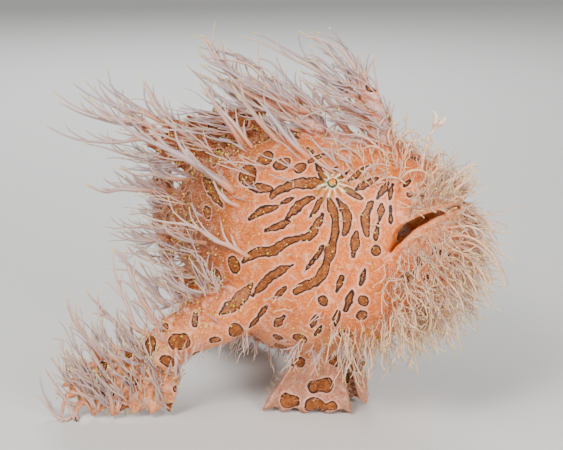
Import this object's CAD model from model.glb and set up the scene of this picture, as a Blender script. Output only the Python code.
"""The looks of a hairy frogfish at life size: one skin, its markings, its filaments, its eyes and its lure.

Shapes are worked out in millimetres in the fish's own frame: +X to the snout, +Y to the fish's left, +Z up
from the floor, with the midline at y = 0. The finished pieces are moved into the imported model's frame.
"""

import math

import bpy
import bmesh
import numpy as np
from mathutils import Matrix, Vector, noise
from mathutils.bvhtree import BVHTree
from mathutils.kdtree import KDTree


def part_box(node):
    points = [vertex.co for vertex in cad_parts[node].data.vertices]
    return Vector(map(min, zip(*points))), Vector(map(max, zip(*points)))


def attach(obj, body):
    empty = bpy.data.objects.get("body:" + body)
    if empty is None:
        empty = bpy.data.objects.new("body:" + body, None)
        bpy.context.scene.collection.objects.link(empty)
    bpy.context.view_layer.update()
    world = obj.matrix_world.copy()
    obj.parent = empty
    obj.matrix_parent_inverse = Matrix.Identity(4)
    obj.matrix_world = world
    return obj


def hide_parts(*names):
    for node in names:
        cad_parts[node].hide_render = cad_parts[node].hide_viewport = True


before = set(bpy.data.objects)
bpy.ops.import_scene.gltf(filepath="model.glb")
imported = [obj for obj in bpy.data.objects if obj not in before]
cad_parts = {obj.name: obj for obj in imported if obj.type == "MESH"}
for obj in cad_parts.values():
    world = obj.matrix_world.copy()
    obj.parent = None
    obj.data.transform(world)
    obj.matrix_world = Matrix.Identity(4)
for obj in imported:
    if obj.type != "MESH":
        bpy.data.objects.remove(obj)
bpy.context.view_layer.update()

MM = 0.001
EYE_CENTRE = (33.98, 24.29, 87.06)
eye_low, eye_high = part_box("eye_right")
other_low, other_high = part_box("eye_left")
ORIGIN = np.array([
    (eye_low.x + eye_high.x) / 2 - EYE_CENTRE[0] * MM,
    (eye_low.y + eye_high.y + other_low.y + other_high.y) / 4,
    0.0,
])

# The photograph's view: size in pixels, and the camera that takes it.
PHOTO_SIZE = (563, 450)
VIEW_TURN = 28.0
VIEW_RISE = 15.0
VIEW_DISTANCE = 550.0
VIEW_HEIGHT = 63.7
VIEW_BEHIND_EYE = 32.0
LENS = 100.0
SENSOR = 36.0

RANDOM = np.random.default_rng(11)

# Side profile of the body: x, top, underside, half width, level of the widest point.
BODY = np.array([
    (-48, 68, 49, 4.0, 58),
    (-44, 70, 47, 5.5, 58),
    (-38, 75, 43.5, 8.0, 59),
    (-30, 81.5, 38, 12.5, 59),
    (-20, 88, 31, 19.5, 57),
    (-10, 93, 25, 25.0, 54),
    (2, 96.5, 21.5, 28.5, 51),
    (14, 97.5, 20.5, 30.0, 50),
    (26, 97, 22.5, 30.0, 51),
    (36, 96, 26.5, 28.5, 53),
    (46, 93.5, 31.5, 26.0, 55),
    (54, 90, 37, 23.0, 58),
    (61, 86, 42.5, 18.5, 61),
    (66.5, 81, 47.5, 13.5, 63),
    (70.5, 74, 54, 7.5, 64.5),
    (72.3, 67, 60, 2.0, 64.5),
], float)
BODY_RINGS = 131
BODY_SIDES = 128
# The rings stand closer toward both ends, by these shares of an even and of an eased spacing.
EVEN_SHARE = 0.45
EASED_SHARE = 0.55
TOP_SQUARENESS = 3.1
UNDER_SQUARENESS = 2.2
TAIL_BEND = 6.0
TAIL_BEND_FROM = -18.0
TAIL_BEND_LENGTH = 30.0

# The low turret round each eye: its middle, the way it rises, by how much and how widely.
ORBIT = (32.0, 23.5, 84.8)
ORBIT_WAY = (0.1, 0.75, 0.65)
ORBIT_HEIGHT = 3.2
ORBIT_SPREAD = 5.5
EYE_RADIUS = 2.2
EYE_FACING = (0.18, 0.80, 0.57)
SOCKET_GAP = 0.1

# The lips from the side, as x and z from the corner of the mouth to its front.
UPPER_LIP = ((53.0, 66.0), (53.8, 71.5), (56.5, 75.6), (61.0, 78.2), (67.0, 79.6), (78.0, 82.6))
LOWER_LIP = ((53.5, 65.2), (57.0, 69.2), (61.0, 73.6), (66.5, 77.4), (78.0, 81.4))
LIP_RADIUS = 1.25
LIP_RISE = 0.85
LIP_SUNK = 0.5
LIP_START = 0.02
LIP_STEPS = 90
LIP_LEAST_WIDTH = 4.0
LIP_FRONT = 1.2
LIP_FRONT_STEPS = 9
LIP_TAPER_STEPS = 12
LIP_SIDES = 12
LIP_FACES_FROM_X = 50.0
MOUTH_CENTRE = (52.0, 0.0, 70.5)
GAPE_RADII = (11.5, 16.5, 6.0)
SLIT_REACH = 60.0

VOXEL = 0.5


def smooth(table, x):
    """Smooth values of a table's columns at x, by a cubic through its rows."""
    xs = table[:, 0]
    i = int(np.clip(np.searchsorted(xs, x) - 1, 0, len(xs) - 2))
    slope = np.gradient(table[:, 1:], xs, axis=0)
    h = xs[i + 1] - xs[i]
    t = (x - xs[i]) / h
    a, b = table[i, 1:], table[i + 1, 1:]
    return (a * (1 + 2 * t) * (1 - t) ** 2 + b * t * t * (3 - 2 * t)
            + h * (slope[i] * t * (1 - t) ** 2 - slope[i + 1] * t * t * (1 - t)))


def through(stations):
    """A line through a few points, as a function of the share of its length."""
    table = np.array([(k / (len(stations) - 1), *p) for k, p in enumerate(stations)], float)
    return lambda share: smooth(table, min(max(share, 0.0), 1.0))


def unit(a):
    return a / np.maximum(np.linalg.norm(a, axis=-1, keepdims=True), 1e-9)


def tail_offset(x):
    return TAIL_BEND * max(0.0, (TAIL_BEND_FROM - x) / TAIL_BEND_LENGTH) ** 2


def body_half_width(x, z):
    top, under, half, widest = smooth(BODY, x)
    high = z > widest
    power = TOP_SQUARENESS if high else UNDER_SQUARENESS
    share = abs(z - widest) / (top - widest if high else widest - under)
    return half * max(0.0, 1 - share ** power) ** (1 / power)


def body_ring(x, sides):
    top, under, half, widest = smooth(BODY, x)
    turn = 2 * math.pi * np.arange(sides) / sides
    c, s = np.cos(turn), np.sin(turn)
    power = np.where(s > 0, TOP_SQUARENESS, UNDER_SQUARENESS)
    height = np.where(s > 0, top - widest, widest - under)
    y = np.sign(c) * np.abs(c) ** (2 / power) * half + tail_offset(x)
    z = widest + np.sign(s) * np.abs(s) ** (2 / power) * height
    return np.stack([np.full(sides, x), y, z], axis=1)


def raise_orbits(points):
    """Lifts the skin round each eye into a low turret."""
    for side in (-1, 1):
        reach = np.linalg.norm(points - np.array(ORBIT) * (1, side, 1), axis=1) / ORBIT_SPREAD
        lift = ORBIT_HEIGHT * np.exp(-reach ** 2)
        points = points + np.array(ORBIT_WAY) * (1, side, 1) * lift[:, None]
    return points


def put_in_scene(thing):
    bpy.context.scene.collection.objects.link(thing)
    return thing


def mesh_object(name, points, faces):
    mesh = bpy.data.meshes.new(name)
    mesh.from_pydata(np.asarray(points, float).tolist(), [], [list(map(int, f)) for f in faces])
    mesh.update()
    return put_in_scene(bpy.data.objects.new(name, mesh))


def smooth_shading(mesh):
    mesh.polygons.foreach_set("use_smooth", np.ones(len(mesh.polygons), bool))


def apply_modifiers(thing):
    view = bpy.context.evaluated_depsgraph_get()
    thing.data = bpy.data.meshes.new_from_object(thing.evaluated_get(view))
    thing.modifiers.clear()


def face_outwards(thing):
    work = bmesh.new()
    work.from_mesh(thing.data)
    bmesh.ops.recalc_face_normals(work, faces=work.faces)
    if work.calc_volume(signed=True) < 0:
        bmesh.ops.reverse_faces(work, faces=work.faces)
    work.to_mesh(thing.data)
    work.free()
    return thing


def loft(rings):
    """Points and faces of a closed tube through rings of equally many points."""
    rings = np.asarray(rings)
    count, sides = rings.shape[:2]
    faces = []
    for r in range(count - 1):
        for k in range(sides):
            a, b = r * sides + k, r * sides + (k + 1) % sides
            faces.append((a, b, b + sides, a + sides))
    faces.append(tuple(range(sides)))
    faces.append(tuple((count - 1) * sides + k for k in reversed(range(sides))))
    return rings.reshape(-1, 3), faces


def tube(path, radii, sides, flat=1.0, hint=(0, 1, 0)):
    """A closed tapering tube along a path; flat is its breadth along hint over its height."""
    path = np.asarray(path, float)
    ahead = unit(np.gradient(path, axis=0))
    hints = np.array([hint(p) if callable(hint) else hint for p in path], float)
    across = unit(hints - ahead * np.sum(hints * ahead, axis=1, keepdims=True))
    up = np.cross(ahead, across)
    turn = 2 * math.pi * np.arange(sides) / sides
    breadth = (flat * np.cos(turn))[None, :, None]
    height = np.sin(turn)[None, :, None]
    ring = across[:, None] * breadth + up[:, None] * height
    return loft(path[:, None] + ring * np.asarray(radii, float)[:, None, None])


def cut(thing, points, faces):
    """Takes a closed form out of a thing."""
    cutter = face_outwards(mesh_object("cutter", points, faces))
    modifier = thing.modifiers.new("cut", "BOOLEAN")
    modifier.operation = "DIFFERENCE"
    modifier.solver = "MANIFOLD"
    modifier.object = cutter
    apply_modifiers(thing)
    bpy.data.objects.remove(cutter)


FIN_STEPS_PER_RAY = 7
FIN_ROWS = 26
FIN_RIDGE = 0.45
FIN_RIPPLE = 0.35
FIN_RIPPLES = 31
# The fin's thickness is rounded off over the last share of its length, down to a least share.
FIN_EDGE_FROM = 0.9
FIN_EDGE_WIDTH = 0.1
FIN_EDGE_LEAST = 0.15


def fin_faces(columns, back):
    """Faces of two sheets of rows and columns that are joined along their rims."""
    deep = FIN_ROWS + 1
    faces = []
    for c in range(columns - 1):
        for r in range(FIN_ROWS):
            a, b = c * deep + r, (c + 1) * deep + r
            faces.append((a, b, b + 1, a + 1))
            faces.append((back + a, back + a + 1, back + b + 1, back + b))
        for r in (0, FIN_ROWS):
            a, b = c * deep + r, (c + 1) * deep + r
            faces.append((a, b, back + b, back + a))
    for r in range(FIN_ROWS):
        for c in (0, columns - 1):
            a = c * deep + r
            faces.append((a, a + 1, back + a + 1, back + a))
    return faces


def fin_points(root, tip, rays, thickness, bend=(0, 0, 0), notch=0.12, sunk=0.2):
    """A membrane from a root line to a tip line, raised along its rays and drawn in between them."""
    columns = FIN_STEPS_PER_RAY * (rays - 1) + 1
    share = np.linspace(0, 1, columns)
    between = 0.5 - 0.5 * np.cos(2 * math.pi * share * (rays - 1))
    starts = np.array([root(s) for s in share])
    ends = np.array([tip(s) for s in share])
    rows = np.linspace(0, 1, FIN_ROWS + 1)
    t = rows[None, :] * (1 - notch * between[:, None] + sunk) - sunk
    held = np.maximum(t, 0)
    straight = starts[:, None] + (ends - starts)[:, None] * t[..., None]
    places = straight + np.array(bend, float) * (held ** 2)[..., None]
    normal = unit(np.cross(np.gradient(places, axis=1), np.gradient(places, axis=0)))
    end_round = np.sqrt(np.clip(1 - (rows - FIN_EDGE_FROM) / FIN_EDGE_WIDTH, FIN_EDGE_LEAST, 1))[None, :]
    thick = thickness[0] + (thickness[1] - thickness[0]) * held
    thick = thick * (1 - FIN_RIDGE * between[:, None]) * end_round
    places = places + normal * (FIN_RIPPLE * held * np.sin(share * FIN_RIPPLES)[:, None])[..., None]
    near = (places + normal * thick[..., None] / 2).reshape(-1, 3)
    far = (places - normal * thick[..., None] / 2).reshape(-1, 3)
    return np.vstack([near, far]), fin_faces(columns, len(near))


# Each fin: its root line, its tip line and the number of its rays.
DORSAL = (through(((0, 0, 95.0), (-12, 0, 91.0), (-24, 0, 85.5), (-35, 1.5, 77.5))),
          through(((-7, 0, 106), (-24, 0, 103.5), (-43, 0, 97), (-57, 3, 87))), 12)
ANAL = (through(((-17, 0, 33.0), (-27, 0.5, 38.0), (-37, 2.0, 43.5))),
        through(((-27, 0, 21), (-40, 1, 24), (-54, 5, 35))), 7)
CAUDAL = (through(((-46, 5.2, 50.5), (-47.5, 5.6, 58.5), (-46, 5.2, 67))),
          through(((-55, 12, 33), (-68, 20, 42), (-72, 23, 59), (-68, 20, 76), (-55, 12, 85))), 9)
CAUDAL_BEND = (3.0, 4.0, 0)
FIN_THICKNESS = (2.6, 1.3)
ARM = ((17, 19, 46), (5, 24, 42.5), (-6, 30.5, 37.5), (-17, 36, 31), (-26, 39, 22.5))
ARM_RADII = (5.5, 9.0, 9.2, 8.2, 7.6)
ARM_FLATNESS = 0.74
ARM_HINT = (0.5, 0.85, 0.2)
HAND_ROOT = ((-20, 34.5, 19), (-25, 38, 20.5), (-29.5, 41, 27))
HAND_TIP = ((-21, 35, 0.4), (-32, 42, 0.2), (-45, 48, 0.4), (-55, 51, 5), (-54, 50, 15))
HAND_RAYS = 9
HAND_THICKNESS = (6.5, 2.6)
HAND_BEND = (-1.0, 2.5, 1.5)
PELVIC_ROOT = ((12.0, 13.5, 16), (20.5, 10.5, 17), (29.0, 6.5, 16))
PELVIC_TIP = ((3.0, 17.0, 0.3), (17.5, 11.5, 0.2), (33.0, 5.0, 0.3))
PELVIC_RAYS = 5
PELVIC_THICKNESS = (7.5, 4.2)
PELVIC_LEG = ((23.0, 9.5, 38.0), (21.5, 10.0, 27.0), (20.5, 10.4, 19.0), (20.0, 10.6, 12.0))
PELVIC_LEG_RADII = (7.0, 5.0, 4.6, 3.2)
PELVIC_LEG_FLATNESS = 1.55
PELVIC_LEG_HINT = (0.9, -0.42, 0)
SECOND_SPINE = ((39.5, 0, 90), (39, 0, 101), (36, 0, 111), (29.5, 0, 119.5))
SECOND_SPINE_RADII = (5.0, 4.4, 3.4, 1.5)
SECOND_SPINE_FLATNESS = 0.75
THIRD_SPINE = ((17, 0, 91), (12.5, 0, 100), (6.5, 0, 105.5), (-2, 0, 109))
THIRD_SPINE_RADII = (5.6, 5.0, 3.8, 1.9)
THIRD_SPINE_FLATNESS = 0.8
SPINE_SIDES = 28
ARM_SIDES = 40
LEG_SIDES = 36
LURE_ROD = ((54.5, 0, 84), (55.0, 0, 92), (56.2, 0, 98), (58.5, 0, 103.5))
LURE_ROD_RADII = (0.6, 0.5, 0.45, 0.45)
LURE_TAILS = ((62.5, 1.2, 107.5), (59.5, -2.0, 109.8))
LURE_TAIL_RADII = (0.5, 0.95, 0.8, 0.3)
LURE_TAIL_SAG = (0.8, 0, 0.6)
LURE_SIDES = 12


def sided(points, side):
    return [(x, y * side, z) for x, y, z in points]


def spread(values, count):
    return np.interp(np.linspace(0, 1, count), np.linspace(0, 1, len(values)), values)


def limb(path, radii, sides, flat=1.0, hint=(0, 1, 0), count=40):
    line = through(path)
    return tube([line(k / (count - 1)) for k in range(count)], spread(radii, count), sides, flat, hint)


def side_line(points):
    return through([(x, 0.0, z) for x, z in points])


def side_points(points, count=40):
    line = side_line(points)
    places = [line(k / (count - 1)) for k in range(count)]
    return [(float(x), float(z)) for x, _, z in places]


def side_prism(outline, reach):
    count = len(outline)
    points = [(x, y, z) for y in (-reach, reach) for x, z in outline]
    faces = [tuple(range(count)), tuple(reversed(range(count, 2 * count)))]
    for k in range(count):
        n = (k + 1) % count
        faces.append((k, n, n + count, k + count))
    return points, faces


def lip_points(points, rise):
    """The rim of the mouth, from corner to corner along the skin."""
    line = side_line(points)
    halves = []
    for share in np.linspace(LIP_START, 1.0, LIP_STEPS):
        x, _, z = line(float(share))
        half = body_half_width(x, z)
        if half <= LIP_LEAST_WIDTH:
            break
        halves.append((x, half - LIP_SUNK, z + rise * LIP_RADIUS))
    halves = np.array(halves)
    end_x, end_y, end_z = halves[-1]
    turns = np.linspace(math.pi / 2, -math.pi / 2, LIP_FRONT_STEPS)[1:-1]
    front = np.array([(end_x + LIP_FRONT * math.cos(a), end_y * math.sin(a), end_z) for a in turns])
    path = np.vstack([halves, front, halves[::-1] * (1, -1, 1)])
    steps = np.arange(len(path))
    ends = np.minimum(steps, steps[::-1]) / LIP_TAPER_STEPS
    radii = LIP_RADIUS * np.clip(0.5 + 0.5 * ends, 0.5, 1)
    return tube(path, radii, LIP_SIDES, 1.0, lambda p: (p[0] - LIP_FACES_FROM_X, p[1], 0))


BALL_POLE_GAP = 0.02


def ball_points(centre, radii, rings=24, sides=32):
    points = []
    for r in range(rings + 1):
        rise = math.pi * (r + BALL_POLE_GAP) / (rings + 2 * BALL_POLE_GAP)
        for k in range(sides):
            turn = 2 * math.pi * k / sides
            points.append((centre[0] + radii[0] * math.sin(rise) * math.cos(turn),
                           centre[1] + radii[1] * math.sin(rise) * math.sin(turn),
                           centre[2] + radii[2] * math.cos(rise)))
    return loft(np.array(points).reshape(rings + 1, sides, 3))


def eye_frame(side):
    """Centre, outward way, and two square ways of an eye."""
    centre = np.array(EYE_CENTRE) * (1, side, 1)
    outward = unit(np.array(EYE_FACING) * (1, side, 1))
    a = unit(np.cross(outward, (0, 0, 1)))
    return centre, outward, a, np.cross(outward, a)


LID_STEPS = 48
LID_SIDES = 10
LID_THICKNESS = 0.55
LID_REACH = 2.25
LID_RAISED = 0.42


def lid_points(side):
    """The thick rim of skin round an eye, as a closed ring."""
    centre, outward, a, b = eye_frame(side)
    rings = []
    for k in range(LID_STEPS):
        turn = 2 * math.pi * k / LID_STEPS
        away = a * math.cos(turn) + b * math.sin(turn)
        place = centre + outward * EYE_RADIUS * LID_RAISED + away * LID_REACH
        rings.append([place + away * LID_THICKNESS * math.cos(t) + outward * LID_THICKNESS * math.sin(t)
                      for t in np.linspace(0, 2 * math.pi, LID_SIDES, endpoint=False)])
    faces = []
    for k in range(LID_STEPS):
        here, after = k * LID_SIDES, (k + 1) % LID_STEPS * LID_SIDES
        for s in range(LID_SIDES):
            t = (s + 1) % LID_SIDES
            faces.append((here + s, after + s, after + t, here + t))
    return np.array(rings).reshape(-1, 3), faces


# The nostril's tube turns back into itself, so that its end is a small cup.
NOSTRIL_STEPS = (-1.2, 1.0, 1.8, 0.5)
NOSTRIL_RADII = (1.3, 1.05, 0.8, 0.45)
NOSTRIL_FACING = (0.55, 0.6, 0.6)
NOSTRIL_FROM = (40.0, 3.0, 72.0)
NOSTRIL_SIDES = 16


def nostril_points(side, tree):
    outward = unit(np.array(NOSTRIL_FACING) * (1, side, 1))
    hit = tree.ray_cast(Vector(np.array(NOSTRIL_FROM) * (1, side, 1)), Vector(outward))[0]
    path = [np.array(hit) + outward * step for step in NOSTRIL_STEPS]
    return tube(path, NOSTRIL_RADII, NOSTRIL_SIDES, 1.0, (0.1, 0, 1))


def body_form():
    rings = []
    for r in range(BODY_RINGS):
        share = r / (BODY_RINGS - 1)
        eased = 0.5 - 0.5 * math.cos(math.pi * share)
        x = BODY[0, 0] + (BODY[-1, 0] - BODY[0, 0]) * (EVEN_SHARE * share + EASED_SHARE * eased)
        rings.append(body_ring(x, BODY_SIDES))
    points, faces = loft(rings)
    return face_outwards(mesh_object("body_form", raise_orbits(points), faces))


def carve(body):
    """Cuts the mouth's slit and hollow and the eyes' sockets."""
    cut(body, *side_prism(side_points(UPPER_LIP) + side_points(LOWER_LIP)[::-1], SLIT_REACH))
    cut(body, *ball_points(MOUTH_CENTRE, GAPE_RADII))
    for side in (-1, 1):
        cut(body, *ball_points(eye_frame(side)[0], (EYE_RADIUS + SOCKET_GAP,) * 3))


def midline_shapes():
    """The parts of flesh that stand on the midline, each with its label."""
    return [
        ("lips", lip_points(UPPER_LIP, LIP_RISE)),
        ("lips", lip_points(LOWER_LIP, -LIP_RISE)),
        ("dorsal", fin_points(*DORSAL, FIN_THICKNESS, notch=0.16, sunk=0.3)),
        ("anal", fin_points(*ANAL, FIN_THICKNESS, notch=0.16, sunk=0.3)),
        ("caudal", fin_points(*CAUDAL, FIN_THICKNESS, CAUDAL_BEND, sunk=0.22)),
        ("second", limb(SECOND_SPINE, SECOND_SPINE_RADII, SPINE_SIDES, SECOND_SPINE_FLATNESS)),
        ("third", limb(THIRD_SPINE, THIRD_SPINE_RADII, SPINE_SIDES, THIRD_SPINE_FLATNESS)),
    ]


def side_shapes(side, tree):
    """The parts of flesh of one side, each with its label."""
    def line(points):
        return through(sided(points, side))

    def way(x, y, z):
        return x, y * side, z

    return [
        ("lid", lid_points(side)),
        ("lid", nostril_points(side, tree)),
        ("arm", limb(sided(ARM, side), ARM_RADII, ARM_SIDES, ARM_FLATNESS, way(*ARM_HINT))),
        ("hand", fin_points(line(HAND_ROOT), line(HAND_TIP), HAND_RAYS, HAND_THICKNESS, way(*HAND_BEND),
                            notch=0.14, sunk=0.3)),
        ("foot", fin_points(line(PELVIC_ROOT), line(PELVIC_TIP), PELVIC_RAYS, PELVIC_THICKNESS,
                            notch=0.10, sunk=0.35)),
        ("leg", limb(sided(PELVIC_LEG, side), PELVIC_LEG_RADII, LEG_SIDES, PELVIC_LEG_FLATNESS,
                     way(*PELVIC_LEG_HINT))),
    ]


def make_skin_shape():
    """Every part of flesh as one closed, evenly meshed surface, and the labelled points it was made from."""
    body = body_form()
    tree = BVHTree.FromObject(body, bpy.context.evaluated_depsgraph_get())
    carve(body)
    shapes = midline_shapes() + side_shapes(-1, tree) + side_shapes(1, tree)
    pieces = [(label, face_outwards(mesh_object("form", *shape))) for label, shape in shapes]
    pieces.append(("body", body))
    all_points, all_faces, labels = [], [], []
    for label, piece in pieces:
        all_faces += [[v + len(all_points) for v in p.vertices] for p in piece.data.polygons]
        all_points += [tuple(v.co) for v in piece.data.vertices]
        labels += [label] * len(piece.data.vertices)
        bpy.data.objects.remove(piece)
    joined = mesh_object("skin", all_points, all_faces)
    remesh = joined.modifiers.new("even", "REMESH")
    remesh.mode = "VOXEL"
    remesh.voxel_size = VOXEL
    apply_modifiers(joined)
    return joined, all_points, labels


def mesh_arrays(mesh):
    points = np.zeros(len(mesh.vertices) * 3)
    mesh.vertices.foreach_get("co", points)
    edges = np.zeros(len(mesh.edges) * 2, int)
    mesh.edges.foreach_get("vertices", edges)
    return points.reshape(-1, 3), edges.reshape(-1, 2)


SWELL_BACK = 0.9


def relax(points, edges, weight, rounds, shrink=0.5):
    """Laplacian smoothing by a weight for each point, with a little swelling back."""
    count = np.bincount(edges.ravel(), minlength=len(points))[:, None]
    first, second = edges.T
    for r in range(rounds):
        total = [np.bincount(first, points[second, k], len(points))
                 + np.bincount(second, points[first, k], len(points)) for k in range(3)]
        mean = np.stack(total, axis=1) / np.maximum(count, 1)
        step = shrink if r % 2 == 0 else -shrink * SWELL_BACK
        points = points + (mean - points) * weight[:, None] * step
    return points


def near_any(points, centres, reach):
    """1 at the centres falling smoothly to 0 at reach."""
    weight = np.zeros(len(points))
    for c in centres:
        far = np.linalg.norm(points - np.array(c, float), axis=1) / reach
        weight = np.maximum(weight, np.clip(1 - far, 0, 1))
    return weight * weight * (3 - 2 * weight)


def put_points(mesh, points):
    mesh.vertices.foreach_set("co", points.ravel())
    mesh.update()


# The photograph's view places the markings and the filaments that can be seen in it.

turn, rise = math.radians(VIEW_TURN), math.radians(VIEW_RISE)
VIEW_BACK = np.array([math.sin(turn) * math.cos(rise), -math.cos(turn) * math.cos(rise), math.sin(rise)])
VIEW_TARGET = np.array([EYE_CENTRE[0] - VIEW_BEHIND_EYE, 0.0, VIEW_HEIGHT])
VIEW_RIGHT = unit(np.cross((0, 0, 1), VIEW_BACK))
VIEW_UP = np.cross(VIEW_BACK, VIEW_RIGHT)
VIEW_PLACE = VIEW_TARGET + VIEW_BACK * VIEW_DISTANCE
PIXEL_SPREAD = SENSOR / LENS / PHOTO_SIZE[0]


def pixel_way(px, py):
    """The direction in which a pixel of the photograph looks."""
    across = (px - PHOTO_SIZE[0] / 2) * PIXEL_SPREAD
    down = (py - PHOTO_SIZE[1] / 2) * PIXEL_SPREAD
    return unit(-VIEW_BACK + VIEW_RIGHT * across - VIEW_UP * down)


# Where the limbs meet the trunk: a place on the fish's left, and how far the softening reaches from it.
SEAMS = (((12, 21, 44), 22), ((22, 9.5, 26), 14))
FIRST_ROUNDS = 8
SEAM_ROUNDS = 40
SEAM_SHRINK = 0.6

skin, form_points, form_labels = make_skin_shape()
points, edges = mesh_arrays(skin.data)
form_tree = KDTree(len(form_points))
for k, place in enumerate(form_points):
    form_tree.insert(place, k)
form_tree.balance()
part = np.array([form_labels[form_tree.find(p)[1]] for p in points.tolist()])
points = relax(points, edges, np.full(len(points), 1.0), FIRST_ROUNDS)
seams = sum(near_any(points, [(x, s * y, z) for s in (-1, 1)], reach) for (x, y, z), reach in SEAMS)
points = relax(points, edges, np.clip(seams, 0, 1), SEAM_ROUNDS, SEAM_SHRINK)
put_points(skin.data, points)


def vertex_normals(mesh):
    normals = np.zeros(len(mesh.vertices) * 3)
    mesh.vertices.foreach_get("normal", normals)
    return normals.reshape(-1, 3)


def eye_distance(points):
    return np.minimum(*[np.linalg.norm(points - eye_frame(s)[0], axis=1) for s in (-1, 1)])


def lumps(points, size, seed):
    """Smooth noise between -1 and 1."""
    offset = Vector((seed * 7.31, seed * 3.17, seed * 1.93))
    return np.array([noise.noise(Vector(p) / size + offset) for p in points.tolist()])


# Low lumps of the skin: height, size and seed of each kind; none close to the eyes.
RELIEF = ((0.45, 7.0, 1), (0.22, 2.6, 2))
CALM_FROM = 3.2
CALM_WIDTH = 4

normals = vertex_normals(skin.data)
calm = np.clip((eye_distance(points) - CALM_FROM) / CALM_WIDTH, 0, 1)
relief = sum(height * lumps(points, size, seed) for height, size, seed in RELIEF) * calm
points = points + normals * relief[:, None]
points[:, 2] = np.maximum(points[:, 2], 0.0)
put_points(skin.data, points)
normals = vertex_normals(skin.data)
smooth_shading(skin.data)
print("skin", len(points), "points")
skin_tree = BVHTree.FromObject(skin, bpy.context.evaluated_depsgraph_get())


def pixel_on_skin(px, py):
    hit = skin_tree.ray_cast(Vector(VIEW_PLACE), Vector(pixel_way(px, py)))
    return None if hit[0] is None else np.array(hit[0])


# Markings: strokes in the photograph's pixels, each a width and then the x and y of its corners.
STRIPES = (
    (8, 271, 197, 277, 190, 291, 188, 307, 187, 318, 188, 327, 192), (8, 250, 188, 261, 188, 273, 189),
    (7, 250, 219, 258, 212, 279, 207), (8, 287, 219, 298, 208, 315, 203), (6, 266, 230, 289, 223),
    (4, 311, 221, 324, 203), (3, 281, 205, 296, 200),
    (8, 243, 262, 258, 250, 272, 253, 284, 242, 300, 239, 312, 238, 324, 219),
    (5, 304, 272, 318, 255, 323, 247),
    (8, 330, 205, 335, 215, 337, 226, 335, 240, 328, 258, 326, 269, 315, 283, 300, 287, 295, 292),
    (8, 339, 205, 347, 215, 350, 223, 345, 236), (8, 373, 205, 365, 217, 367, 236), (5, 382, 206, 380, 221),
    (4, 391, 207, 391, 224), (4.5, 378, 225, 376, 240), (9, 376, 250, 376, 251), (8, 357, 234, 353, 256),
    (10, 348, 197, 362, 203), (6, 358, 195, 378, 181), (5, 351, 186, 370, 168), (5, 340, 186, 352, 175),
    (6, 378, 201, 388, 185), (4, 390, 200, 393, 185), (5, 404, 187, 410, 180), (6, 409, 194, 409, 195),
    (8, 423, 198, 423, 199), (3, 334, 179, 338, 173), (5, 317, 168, 328, 188), (7, 311, 165, 325, 158),
    (7, 307, 149, 314, 155), (5, 342, 277, 336, 292), (8, 352, 291, 346, 310), (6, 365, 269, 361, 284),
    (8, 363, 300, 363, 301), (10, 362, 315, 362, 316), (7, 338, 312, 335, 326), (10, 322, 300, 323, 301),
    (12, 346, 334, 347, 335), (7, 312, 327, 316, 317), (6, 315, 335, 322, 325), (12, 300, 338, 301, 339),
    (8, 275, 326, 284, 316), (10, 277, 337, 278, 337), (8, 253, 295, 268, 279, 282, 269, 293, 265),
    (5, 273, 299, 285, 288), (5, 250, 327, 268, 305), (11, 220, 314, 236, 303, 252, 284),
    (13, 235, 330, 236, 331), (14, 233, 264, 234, 265), (15, 264, 158, 266, 158), (18, 246, 174, 249, 176),
    (14, 281, 165, 283, 165), (9, 300, 170, 301, 170), (11, 253, 145, 269, 136), (7, 289, 135, 300, 139),
    (17, 215, 131, 218, 132), (8, 227, 160, 238, 147), (11, 192, 172, 194, 184), (9, 204, 179, 222, 206),
    (22, 188, 204, 189, 214), (15, 187, 233, 188, 236), (15, 192, 265, 194, 268), (18, 199, 103, 202, 106),
    (9, 195, 314, 195, 325), (14, 177, 342, 182, 342), (13, 122, 343, 122, 350), (11, 151, 343, 147, 352),
    (9, 159, 318, 161, 320), (8, 214, 340, 217, 340), (8, 137, 325, 137, 328), (8, 138, 340, 138, 341),
    (10, 132, 377, 132, 380), (10, 108, 392, 109, 392), (8, 90, 374, 91, 375), (8, 102, 366, 102, 367),
    (8, 83, 384, 84, 384), (9, 106, 419, 107, 419), (8, 124, 409, 125, 409), (8, 74, 414, 75, 414),
    (8, 53, 404, 54, 404), (14, 315, 385, 325, 385), (14, 288, 402, 292, 402), (14, 312, 406, 319, 406),
    (9, 345, 377, 345, 379), (8, 296, 362, 300, 362), (9, 334, 360, 335, 361), (9, 331, 406, 332, 406),
    (8, 406, 278, 412, 276), (5, 419, 257, 419, 267), (4, 434, 249, 434, 255), (4, 442, 251, 442, 256),
    (5, 450, 255, 450, 263), (6, 436, 283, 436, 287), (4, 409, 290, 409, 295), (6, 419, 306, 419, 310),
    (4, 426, 277, 426, 280),
)
STROKE_SHARE = 1.12
STROKE_STEP = 3
STROKE_ROUNDS = 6
STROKE_JUMP = 8
# The share of its width that a stroke has at its ends, how fast it widens from there, and how it wavers.
STROKE_END = 0.42
STROKE_TAPER = 0.5
STROKE_WAVE = 0.14
STROKE_WAVES = 9.0
PHOTO_EYE = (335.0, 191.5)
MODEL_EYE = (333.3, 184.7)
EYE_PULL_REACH = 75.0
SPOT_REACH = 6.0


def pairs(flat):
    return list(zip(flat[::2], flat[1::2]))


def towards_eye(px, py):
    """Shifts a pixel near the photographed eye so that the marks round it centre on the modelled eye."""
    share = max(0.0, 1 - math.hypot(px - PHOTO_EYE[0], py - PHOTO_EYE[1]) / EYE_PULL_REACH)
    share = share * share * (3 - 2 * share)
    return px + share * (MODEL_EYE[0] - PHOTO_EYE[0]), py + share * (MODEL_EYE[1] - PHOTO_EYE[1])


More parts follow.
